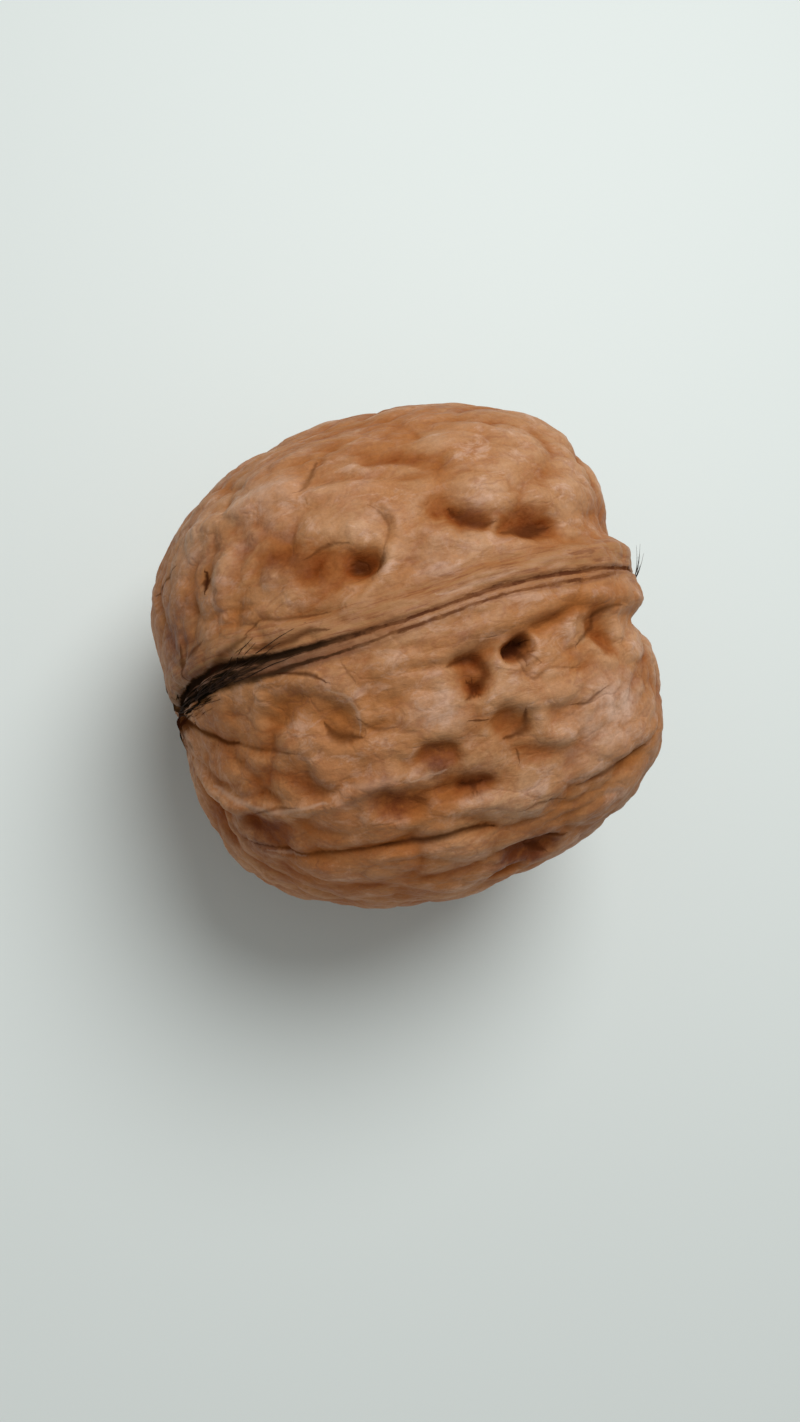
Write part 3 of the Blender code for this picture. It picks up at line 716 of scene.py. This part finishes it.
class Nodes:
    """Builds a material's node tree from short calls, each of which returns an output socket."""

    def __init__(self, name):
        self.material = bpy.data.materials.new(name)
        self.material.use_nodes = True
        self.tree = self.material.node_tree
        self.shader = self.tree.nodes["Principled BSDF"]

    def feed(self, socket, value):
        if isinstance(value, bpy.types.NodeSocket):
            self.tree.links.new(value, socket)
        else:
            socket.default_value = value

    def attribute(self, name):
        node = self.tree.nodes.new("ShaderNodeAttribute")
        node.attribute_name = name
        return node.outputs["Fac"]

    def place(self, stretch=(1.0, 1.0, 1.0)):
        """The place on the object in millimetres, drawn out by stretch along its axes."""
        coordinates = self.tree.nodes.new("ShaderNodeTexCoord")
        scaled = self.tree.nodes.new("ShaderNodeVectorMath")
        scaled.operation = "MULTIPLY"
        self.feed(scaled.inputs[0], coordinates.outputs["Object"])
        scaled.inputs[1].default_value = [1.0 / MM / amount for amount in stretch]
        return scaled.outputs["Vector"]

    def along(self, direction):
        """How far the place is from the object's origin along a direction, in metres."""
        coordinates = self.tree.nodes.new("ShaderNodeTexCoord")
        product = self.tree.nodes.new("ShaderNodeVectorMath")
        product.operation = "DOT_PRODUCT"
        self.feed(product.inputs[0], coordinates.outputs["Object"])
        product.inputs[1].default_value = direction
        return product.outputs["Value"]

    def times(self, first, *others):
        """The product of two or more values."""
        for other in others:
            first = self.math("MULTIPLY", first, other)
        return first

    def sway(self, place, height, texture):
        """Noise that goes as far below 0 as above it, over this height in all."""
        return self.math("MULTIPLY_ADD", self.noise(place, *texture), height, -height / 2.0)

    def combine(self, x, y, z=0.0):
        node = self.tree.nodes.new("ShaderNodeCombineXYZ")
        for socket, value in zip(node.inputs, (x, y, z)):
            self.feed(socket, value)
        return node.outputs["Vector"]

    def noise(self, place, scale, detail=3.0, roughness=0.5, distortion=0.0):
        node = self.tree.nodes.new("ShaderNodeTexNoise")
        self.feed(node.inputs["Vector"], place)
        node.inputs["Scale"].default_value = scale
        node.inputs["Detail"].default_value = detail
        node.inputs["Roughness"].default_value = roughness
        node.inputs["Distortion"].default_value = distortion
        return node.outputs["Fac"]

    def cell_edge(self, place, scale, wander, width):
        """1 on the edges of irregular cells, easing to 0 at the given width."""
        shift = self.tree.nodes.new("ShaderNodeTexNoise")
        self.feed(shift.inputs["Vector"], place)
        shift.inputs["Scale"].default_value = 1.3 * scale
        moved = self.tree.nodes.new("ShaderNodeVectorMath")
        moved.operation = "MULTIPLY_ADD"
        self.feed(moved.inputs[0], shift.outputs["Color"])
        moved.inputs[1].default_value = [wander / scale] * 3
        self.feed(moved.inputs[2], place)
        cells = self.tree.nodes.new("ShaderNodeTexVoronoi")
        cells.feature = "DISTANCE_TO_EDGE"
        self.feed(cells.inputs["Vector"], moved.outputs["Vector"])
        cells.inputs["Scale"].default_value = scale
        return self.ease(cells.outputs["Distance"], width, 0.0)

    def math(self, operation, first, second=0.0, third=0.0):
        node = self.tree.nodes.new("ShaderNodeMath")
        node.operation = operation
        for socket, value in zip(node.inputs, (first, second, third)):
            self.feed(socket, value)
        return node.outputs["Value"]

    def ease(self, value, start, end, low=0.0, high=1.0):
        """low below start, high above end, and smooth between; start may be above end."""
        node = self.tree.nodes.new("ShaderNodeMapRange")
        node.interpolation_type = "SMOOTHSTEP"
        for name, amount in (
            ("Value", value),
            ("From Min", start),
            ("From Max", end),
            ("To Min", low),
            ("To Max", high),
        ):
            self.feed(node.inputs[name], amount)
        return node.outputs["Result"]

    def mix(self, amount, first, second, blend="MIX"):
        node = self.tree.nodes.new("ShaderNodeMix")
        node.data_type = "RGBA"
        node.blend_type = blend
        self.feed(node.inputs["Factor"], amount)
        self.feed(node.inputs["A"], first)
        self.feed(node.inputs["B"], second)
        return node.outputs["Result"]

    def ramp(self, value, stops):
        node = self.tree.nodes.new("ShaderNodeValToRGB")
        ramp = node.color_ramp
        while len(ramp.elements) < len(stops):
            ramp.elements.new(0.5)
        for element, (position, colour) in zip(ramp.elements, stops):
            element.position = position
            element.color = colour
        self.feed(node.inputs["Fac"], value)
        return node.outputs["Color"]

    def bump(self, height, distance, strength=1.0, under=None):
        node = self.tree.nodes.new("ShaderNodeBump")
        node.inputs["Strength"].default_value = strength
        node.inputs["Distance"].default_value = distance
        self.feed(node.inputs["Height"], height)
        if under is not None:
            self.feed(node.inputs["Normal"], under)
        return node.outputs["Normal"]


def shell_colour(nodes):
    """Tan crests, orange-brown hollows and dark pits, mottled, with pinkish scuffs and fine veins. The
    darkening in hollows and pits is partly the shell's own colour and partly painted shade, and one side
    gets painted warm shade.
    """
    even = nodes.place()
    relief = nodes.attribute("relief_mm")
    mottled = nodes.math("ADD", relief, nodes.sway(nodes.place((2.2, 1.0, 1.0)), 1.3, MOTTLE))
    # The relief picks the colour: darker and browner down in hollows and pits, partly the shell's own colour
    # and partly painted shade.
    colour = nodes.ramp(
        nodes.ease(mottled, -1.25, 0.75),
        [(0.0, PIT_BROWN_AND_SHADE), (0.2, HOLLOW_BROWN_AND_SHADE), (0.45, SLOPE_ORANGE), (0.68, PLAIN_TAN), (1.0, CREST_TAN)],
    )
    patches = nodes.ease(nodes.noise(even, *PATCHES), 0.42, 0.62)
    colour = nodes.mix(nodes.times(patches, 0.55), colour, PATCH_ORANGE)
    scuffs = nodes.ease(nodes.noise(nodes.place((1.6, 1.0, 1.0)), *SCUFFS), 0.49, 0.66)
    on_crests = nodes.ease(relief, -0.35, 0.25)
    colour = nodes.mix(nodes.times(scuffs, on_crests, 0.66), colour, SCUFF_PINK)
    blotches = nodes.ease(nodes.noise(nodes.place((1.4, 1.0, 1.0)), *BLOTCHES), 0.5, 0.62)
    colour = nodes.mix(nodes.times(blotches, 0.36), colour, BLOTCH_RED)
    colour = tinted(nodes, colour)
    # Painted warm shade: the lower side is made redder and darker.
    warm_shade = nodes.ease(nodes.along(WARM_SHADE_TOWARDS), WARM_SHADE_FROM, WARM_SHADE_TO)
    colour = nodes.mix(warm_shade, colour, WARM_SHADE_TINT, "MULTIPLY")
    veins = nodes.cell_edge(nodes.place(VEIN_STRETCH), *VEIN_CELLS, 0.09)
    in_places = nodes.ease(nodes.noise(even, *VEIN_GAPS), 0.45, 0.62)
    colour = nodes.mix(nodes.times(veins, in_places, 0.3), colour, VEIN_BROWN)
    shade = nodes.ease(nodes.noise(even, *GRAIN), 0.25, 0.75, 0.88, 1.08)
    return nodes.mix(1.0, colour, nodes.combine(shade, shade, shade), "MULTIPLY")


def tinted(nodes, colour):
    """Pale pinkish places and dark reddish ones, with blotchy edges."""
    blotches = nodes.math("MULTIPLY_ADD", nodes.noise(nodes.place(), *TINT_BLOTCHES), 3.0, -0.5)
    tint = nodes.times(nodes.attribute("tint"), blotches)
    # Partly painted light: pale for a pool of light in one place, dark for shade in pits.
    colour = nodes.mix(nodes.ease(tint, 0.0, 1.0), colour, PALE_TINT_AND_LIGHT)
    return nodes.mix(nodes.ease(tint, 0.0, -1.0), colour, DARK_TINT_AND_PIT_SHADE)


def banded(nodes, colour, gap, fibres):
    """Straw-coloured and brown streaks along the suture's band."""
    band = nodes.ease(nodes.math("ABSOLUTE", nodes.math("SUBTRACT", gap, BAND_MIDDLE)), *BAND_EDGE)
    colour = nodes.mix(nodes.times(band, 0.5), colour, BAND_BROWN)
    straws = nodes.ease(fibres, 0.46, 0.6)
    colour = nodes.mix(nodes.times(band, straws, 0.6), colour, BAND_STRAW)
    streaks = nodes.ease(fibres, 0.47, 0.38)
    return nodes.mix(nodes.times(band, streaks, 0.7), colour, STREAK_BROWN)


def seam_lines(nodes, latitude, seam):
    """How strongly the crack and the thinner second line show, and the brown haze round them."""
    width = nodes.ease(latitude, -42.0, -14.0, CRACK_LINE_HALF_WIDTH_AT_STEM, CRACK_LINE_HALF_WIDTH)
    crack_gap = nodes.math("ABSOLUTE", seam)
    crack = nodes.ease(crack_gap, width, nodes.times(width, 0.4))
    apart = nodes.times(
        nodes.ease(latitude, -48.0, -34.0, SECOND_LINE_GAP_AT_STEM, SECOND_LINE_GAP),
        nodes.ease(latitude, -28.0, -16.0, 1.0, 0.78),
        nodes.ease(latitude, -72.0, -58.0),
        nodes.ease(latitude, 26.0, 46.0, 1.0, 0.0),
    )
    second_gap = nodes.math("ABSOLUTE", nodes.math("ADD", seam, apart))
    second_width = nodes.ease(latitude, -56.0, -30.0, SECOND_LINE_HALF_WIDTH_AT_STEM, SECOND_LINE_HALF_WIDTH)
    second = nodes.ease(second_gap, second_width, 0.05)
    second = nodes.times(second, nodes.ease(latitude, 44.0, 26.0, 0.0, 0.85))
    haze = nodes.ease(nodes.math("MINIMUM", crack_gap, second_gap), *HAZE_EDGE)
    return nodes.math("MAXIMUM", crack, second), haze


def stem_stain(nodes, latitude, gap, fibres):
    """How black the frayed wedge at the stem end and the scar are; also a share that is 0 underneath."""
    reach = nodes.ease(latitude, -36.0, -80.0, STAIN_REACH, STAIN_REACH_AT_STEM)
    offset = nodes.math("ADD", gap, nodes.ease(latitude, -38.0, -62.0, 0.3, 0.95))
    nearness = nodes.math("SUBTRACT", 1.0, nodes.math("DIVIDE", nodes.math("ABSOLUTE", offset), reach))
    frayed = nodes.math("ADD", nearness, nodes.math("MULTIPLY_ADD", fibres, 4.0, -2.2))
    above = nodes.ease(nodes.along((0.0, 0.0, 1.0)), *STAIN_BOTTOM)
    wedge = nodes.times(nodes.ease(frayed, 0.0, 0.7), nodes.ease(latitude, -34.0, -54.0), above)
    ragged = nodes.math("ADD", latitude, nodes.sway(nodes.place(), 26.0, SCAR_EDGE))
    scar = nodes.ease(ragged, -75.0, -87.0, 0.0, 0.9)
    return nodes.math("MAXIMUM", wedge, scar), above


def seam_colour(nodes, colour):
    """The suture's streaked band, its dark lines and the black stem end; also how dark the place is."""
    latitude = nodes.attribute("latitude")
    gap = nodes.attribute("from_seam_mm")
    wobble = nodes.sway(nodes.combine(nodes.times(latitude, 0.07), gap), 0.5, SEAM_WOBBLE)
    nibbles = nodes.sway(nodes.place(), 0.24, SEAM_NIBBLES)
    seam = nodes.math("ADD", nodes.math("ADD", gap, wobble), nibbles)
    fibres = nodes.noise(nodes.combine(nodes.times(latitude, 0.03), gap), *SEAM_FIBRES)
    colour = banded(nodes, colour, gap, fibres)
    between = nodes.math("ABSOLUTE", nodes.math("SUBTRACT", gap, BETWEEN_LINES_MIDDLE))
    between = nodes.ease(between, *BETWEEN_LINES_EDGE)
    between = nodes.times(between, nodes.ease(latitude, -5.0, -50.0, 0.0, 0.7))
    colour = nodes.mix(between, colour, BETWEEN_LINES_BROWN)
    lines, haze = seam_lines(nodes, latitude, seam)
    colour = nodes.mix(nodes.times(haze, nodes.ease(fibres, 0.44, 0.56, 0.0, 0.6)), colour, HAZE_BROWN)
    stain, above = stem_stain(nodes, latitude, gap, fibres)
    brown = nodes.math("MAXIMUM", nodes.ease(latitude, -34.0, -10.0), nodes.math("SUBTRACT", 1.0, above))
    ink = nodes.mix(brown, INK_BLACK, INK_BROWN)
    strength = nodes.ease(nodes.noise(nodes.place(), *LINE_FADES), 0.42, 0.56, 0.6, 0.92)
    strength = nodes.math("MAXIMUM", strength, nodes.ease(latitude, -18.0, -34.0, 0.0, 0.92))
    colour = nodes.mix(nodes.times(lines, strength), colour, ink)
    colour = nodes.mix(stain, colour, STAIN_BLACK)
    return colour, nodes.math("MAXIMUM", lines, stain)


def line_amount(nodes, kind):
    """How strongly the thin dark or pale lines show, with wavering edges, from 0 to 1."""
    side = nodes.math("ADD", nodes.attribute(f"{kind}_side_mm"), nodes.sway(nodes.place(), 0.2, LINE_WAVER))
    width = nodes.times(nodes.attribute(f"{kind}_width_mm"), 1.6)
    inside = nodes.ease(nodes.math("ABSOLUTE", side), width, 0.0)
    return nodes.times(inside, nodes.attribute(f"{kind}_strength"))


def skin_normal(nodes):
    """Fine pores, the net of veins and soft wrinkles."""
    pores = nodes.noise(nodes.place(), *PORES)
    veins = nodes.cell_edge(nodes.place(VEIN_STRETCH), *VEIN_CELLS, 0.14)
    wrinkles = nodes.noise(nodes.place((2.6, 1.0, 1.0)), *SKIN_WRINKLES)
    rough = nodes.bump(pores, PORE_HEIGHT, 0.4)
    veined = nodes.bump(nodes.math("SUBTRACT", 1.0, veins), VEIN_HEIGHT, 0.5, rough)
    return nodes.bump(wrinkles, SKIN_WRINKLE_HEIGHT, 0.5, veined)


def shell_material():
    """The shell with its lines, glossier on the crests and matt where it is black."""
    nodes = Nodes("walnut_shell")
    colour, seam_dark = seam_colour(nodes, shell_colour(nodes))
    # Thin pale lines on the crests: partly scuffs, partly painted highlight.
    colour = nodes.mix(line_amount(nodes, "pale"), colour, PALE_LINE_AND_HIGHLIGHT_PINK)
    # Thin dark lines, partly the shell's own creases and partly painted shade along furrow bottoms and in
    # pits.
    lines = line_amount(nodes, "dark")
    colour = nodes.mix(nodes.times(lines, 0.93), colour, DARK_LINE_AND_SHADE_BROWN)
    nodes.feed(nodes.shader.inputs["Base Color"], colour)
    polish = nodes.noise(nodes.place(), *POLISH)
    nodes.feed(nodes.shader.inputs["Roughness"], nodes.ease(polish, 0.3, 0.7, 0.45, 0.65))
    sheen = nodes.ease(nodes.attribute("relief_mm"), -0.5, 0.2, 0.02, 0.28)
    matt = nodes.ease(nodes.math("MAXIMUM", seam_dark, lines), 0.0, 0.7, 1.0, 0.0)
    nodes.feed(nodes.shader.inputs["Specular IOR Level"], nodes.times(sheen, matt))
    nodes.feed(nodes.shader.inputs["Normal"], skin_normal(nodes))
    return nodes.material


def fibre_material():
    nodes = Nodes("dry_fibre")
    shade = nodes.noise(nodes.place((4.0, 1.0, 1.0)), *FIBRE_SHADE)
    colour = nodes.ramp(shade, [(0.3, FIBRE_BLACK), (0.75, FIBRE_BROWN)])
    nodes.feed(nodes.shader.inputs["Base Color"], colour)
    nodes.shader.inputs["Roughness"].default_value = 0.85
    nodes.shader.inputs["Specular IOR Level"].default_value = 0.08
    return nodes.material


# Dry fibres of the husk


def surface_places(directions, lift):
    """Points of the shell's surface in those directions, lifted off it."""
    points = shell_points(directions, surface_relief(directions))
    return points + directions * np.asarray(lift)[:, None]


def strand_set(name, strands, radius, nut, material):
    """One object of many thin strands, each a list of points in the nut's own axes."""
    curve = bpy.data.curves.new(name, "CURVE")
    curve.dimensions = "3D"
    curve.bevel_depth = radius
    curve.bevel_resolution = 0
    for strand in strands:
        spline = curve.splines.new("POLY")
        spline.points.add(len(strand) - 1)
        for number, (point, place) in enumerate(zip(spline.points, strand)):
            point.co = (*place, 1.0)
            point.radius = 1.0 - 0.75 * number / (len(strand) - 1)
    curve.materials.append(material)
    fibres = bpy.data.objects.new(name, curve)
    bpy.context.scene.collection.objects.link(fibres)
    fibres.matrix_world = nut.matrix_world.copy()
    return fibres


def stem_fibres(nut, material):
    """Dark strands that lie along the suture from the stem scar and fray outwards."""
    draw = random.Random(STEM_SEED)
    places, lifts = [], []
    for _ in range(STEM_STRANDS):
        start = draw.uniform(-84.0, -50.0)
        end = min(-30.0, start + draw.uniform(8.0, 22.0))
        side = draw.gauss(0.5, 0.5)
        spread = draw.gauss(0.25 if side > 0.6 else -0.1, 0.25)
        drift = 0.0
        for step in range(STEM_STRAND_POINTS):
            share = step / (STEM_STRAND_POINTS - 1)
            latitude = start + (end - start) * share
            drift += draw.uniform(-0.06, 0.06)
            across = (0.35 * side + (side + spread) * share * 0.9 + drift) * MM
            ring = max(0.1, math.cos(math.radians(latitude))) * MEAN_RADIUS
            places.append(on_globe(latitude, math.degrees(across / ring) + 2.0))
            lifts.append((0.01 + 0.05 * draw.random() * share) * MM)
    points = surface_places(np.array(places), lifts)
    strands = points.reshape(STEM_STRANDS, STEM_STRAND_POINTS, 3)
    return strand_set("stem_fibres", strands, STEM_STRAND_RADIUS, nut, material)


def tip_fibres(nut, material):
    """A wisp of dark hairs that stands out from the seam at the tip end."""
    draw = random.Random(TIP_SEED)
    strands = []
    root = Vector(surface_places(np.array([on_globe(*TIP_HAIR_ROOT)]), [0.0])[0])
    for _ in range(TIP_HAIRS):
        heading = Vector((0.55, 0.65 + draw.uniform(-0.2, 0.2), 0.3 + draw.uniform(-0.15, 0.15)))
        heading.normalize()
        bend = Vector((-0.2, draw.uniform(0.3, 0.8), draw.uniform(-0.1, 0.2)))
        length = draw.uniform(1.0, 2.9) * MM
        start = root + Vector((0.0, draw.uniform(-0.12, 0.12), 0.0)) * MM
        shares = [step / (TIP_HAIR_POINTS - 1) for step in range(TIP_HAIR_POINTS)]
        strands.append([start + (heading + bend * share * 0.7) * length * share for share in shares])
    return strand_set("tip_fibres", strands, TIP_HAIR_RADIUS, nut, material)


# Floor, light and camera


def floor():
    mesh = bpy.data.meshes.new("floor")
    turns = ((-1, -1), (1, -1), (1, 1), (-1, 1))
    mesh.from_pydata([(x * FLOOR_REACH, y * FLOOR_REACH, 0.0) for x, y in turns], [], [(0, 1, 2, 3)])
    nodes = Nodes("pale_floor")
    nodes.shader.inputs["Base Color"].default_value = FLOOR_PALE
    nodes.shader.inputs["Roughness"].default_value = 0.6
    mesh.materials.append(nodes.material)
    ground = bpy.data.objects.new("floor", mesh)
    bpy.context.scene.collection.objects.link(ground)


def view_axes():
    """The camera's right, up and backward directions, before it is aimed off the nut's middle."""
    lean = Matrix.Rotation(LEAN, 3, "X")
    sideways, upwards = math.cos(TURN_TO_RIGHT_CHEEK), math.sin(TURN_TO_RIGHT_CHEEK)
    back = lean @ Vector((-math.sin(TURN_TO_STEM) * sideways, -upwards, math.cos(TURN_TO_STEM) * sideways))
    axis = lean @ Vector((1.0, 0.0, 0.0))
    axis = (axis - back * axis.dot(back)).normalized()
    side = back.cross(axis)
    right = axis * math.cos(ROLL) - side * math.sin(ROLL)
    up = axis * math.sin(ROLL) + side * math.cos(ROLL)
    return right, up, back


def camera(middle):
    """A camera that sees the middle of the nut at its pixel in the photograph."""
    right, up, back = view_axes()
    ray = Vector((NUT_X - IMAGE_WIDTH / 2, IMAGE_HEIGHT / 2 - NUT_Y, -FOCAL_PIXELS)).normalized()
    aim = ray.rotation_difference(Vector((0.0, 0.0, -1.0))).to_matrix()
    axes = Matrix((right, up, back)).transposed() @ aim
    data = bpy.data.cameras.new("camera")
    data.sensor_width = SENSOR_WIDTH
    data.lens = SENSOR_WIDTH * FOCAL_PIXELS / IMAGE_HEIGHT
    data.clip_start = CLIP_START
    eye = bpy.data.objects.new("camera", data)
    bpy.context.scene.collection.objects.link(eye)
    eye.matrix_world = Matrix.Translation(middle + back * CAMERA_DISTANCE) @ axes.to_4x4()
    bpy.context.scene.camera = eye


def lights(middle):
    """A big soft window beyond the top of the picture, over an even pale sky."""
    right, up, back = view_axes()
    towards = up * WINDOW_UP + back * WINDOW_BACK + right * WINDOW_RIGHT
    window = bpy.data.lights.new("window", "AREA")
    window.shape = "DISK"
    window.size = WINDOW_SIZE
    window.energy = WINDOW_WATTS
    window.color = WINDOW_WHITE
    lamp = bpy.data.objects.new("window", window)
    lamp.location = middle + towards.normalized() * WINDOW_DISTANCE
    lamp.rotation_euler = towards.to_track_quat("Z", "Y").to_euler()
    bpy.context.scene.collection.objects.link(lamp)
    world = bpy.data.worlds.new("sky")
    world.use_nodes = True
    sky = world.node_tree.nodes["Background"]
    sky.inputs["Color"].default_value = SKY_WHITE
    sky.inputs["Strength"].default_value = SKY_STRENGTH
    bpy.context.scene.world = world
    bpy.context.scene.view_settings.view_transform = "Standard"


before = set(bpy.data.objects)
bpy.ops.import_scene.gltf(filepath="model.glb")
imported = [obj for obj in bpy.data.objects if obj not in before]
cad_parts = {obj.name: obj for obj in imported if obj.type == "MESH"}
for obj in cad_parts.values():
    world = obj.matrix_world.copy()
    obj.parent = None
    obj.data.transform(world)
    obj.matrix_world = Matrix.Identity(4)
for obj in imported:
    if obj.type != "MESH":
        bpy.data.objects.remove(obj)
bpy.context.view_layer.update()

nut = shell()
nut.data.materials.append(shell_material())
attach(nut, "root")
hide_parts("walnut")

fibre = fibre_material()
for strands in (stem_fibres(nut, fibre), tip_fibres(nut, fibre)):
    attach(strands, "root")

floor()
middle_of_nut = nut.matrix_world.translation.copy()
camera(middle_of_nut)
lights(middle_of_nut)
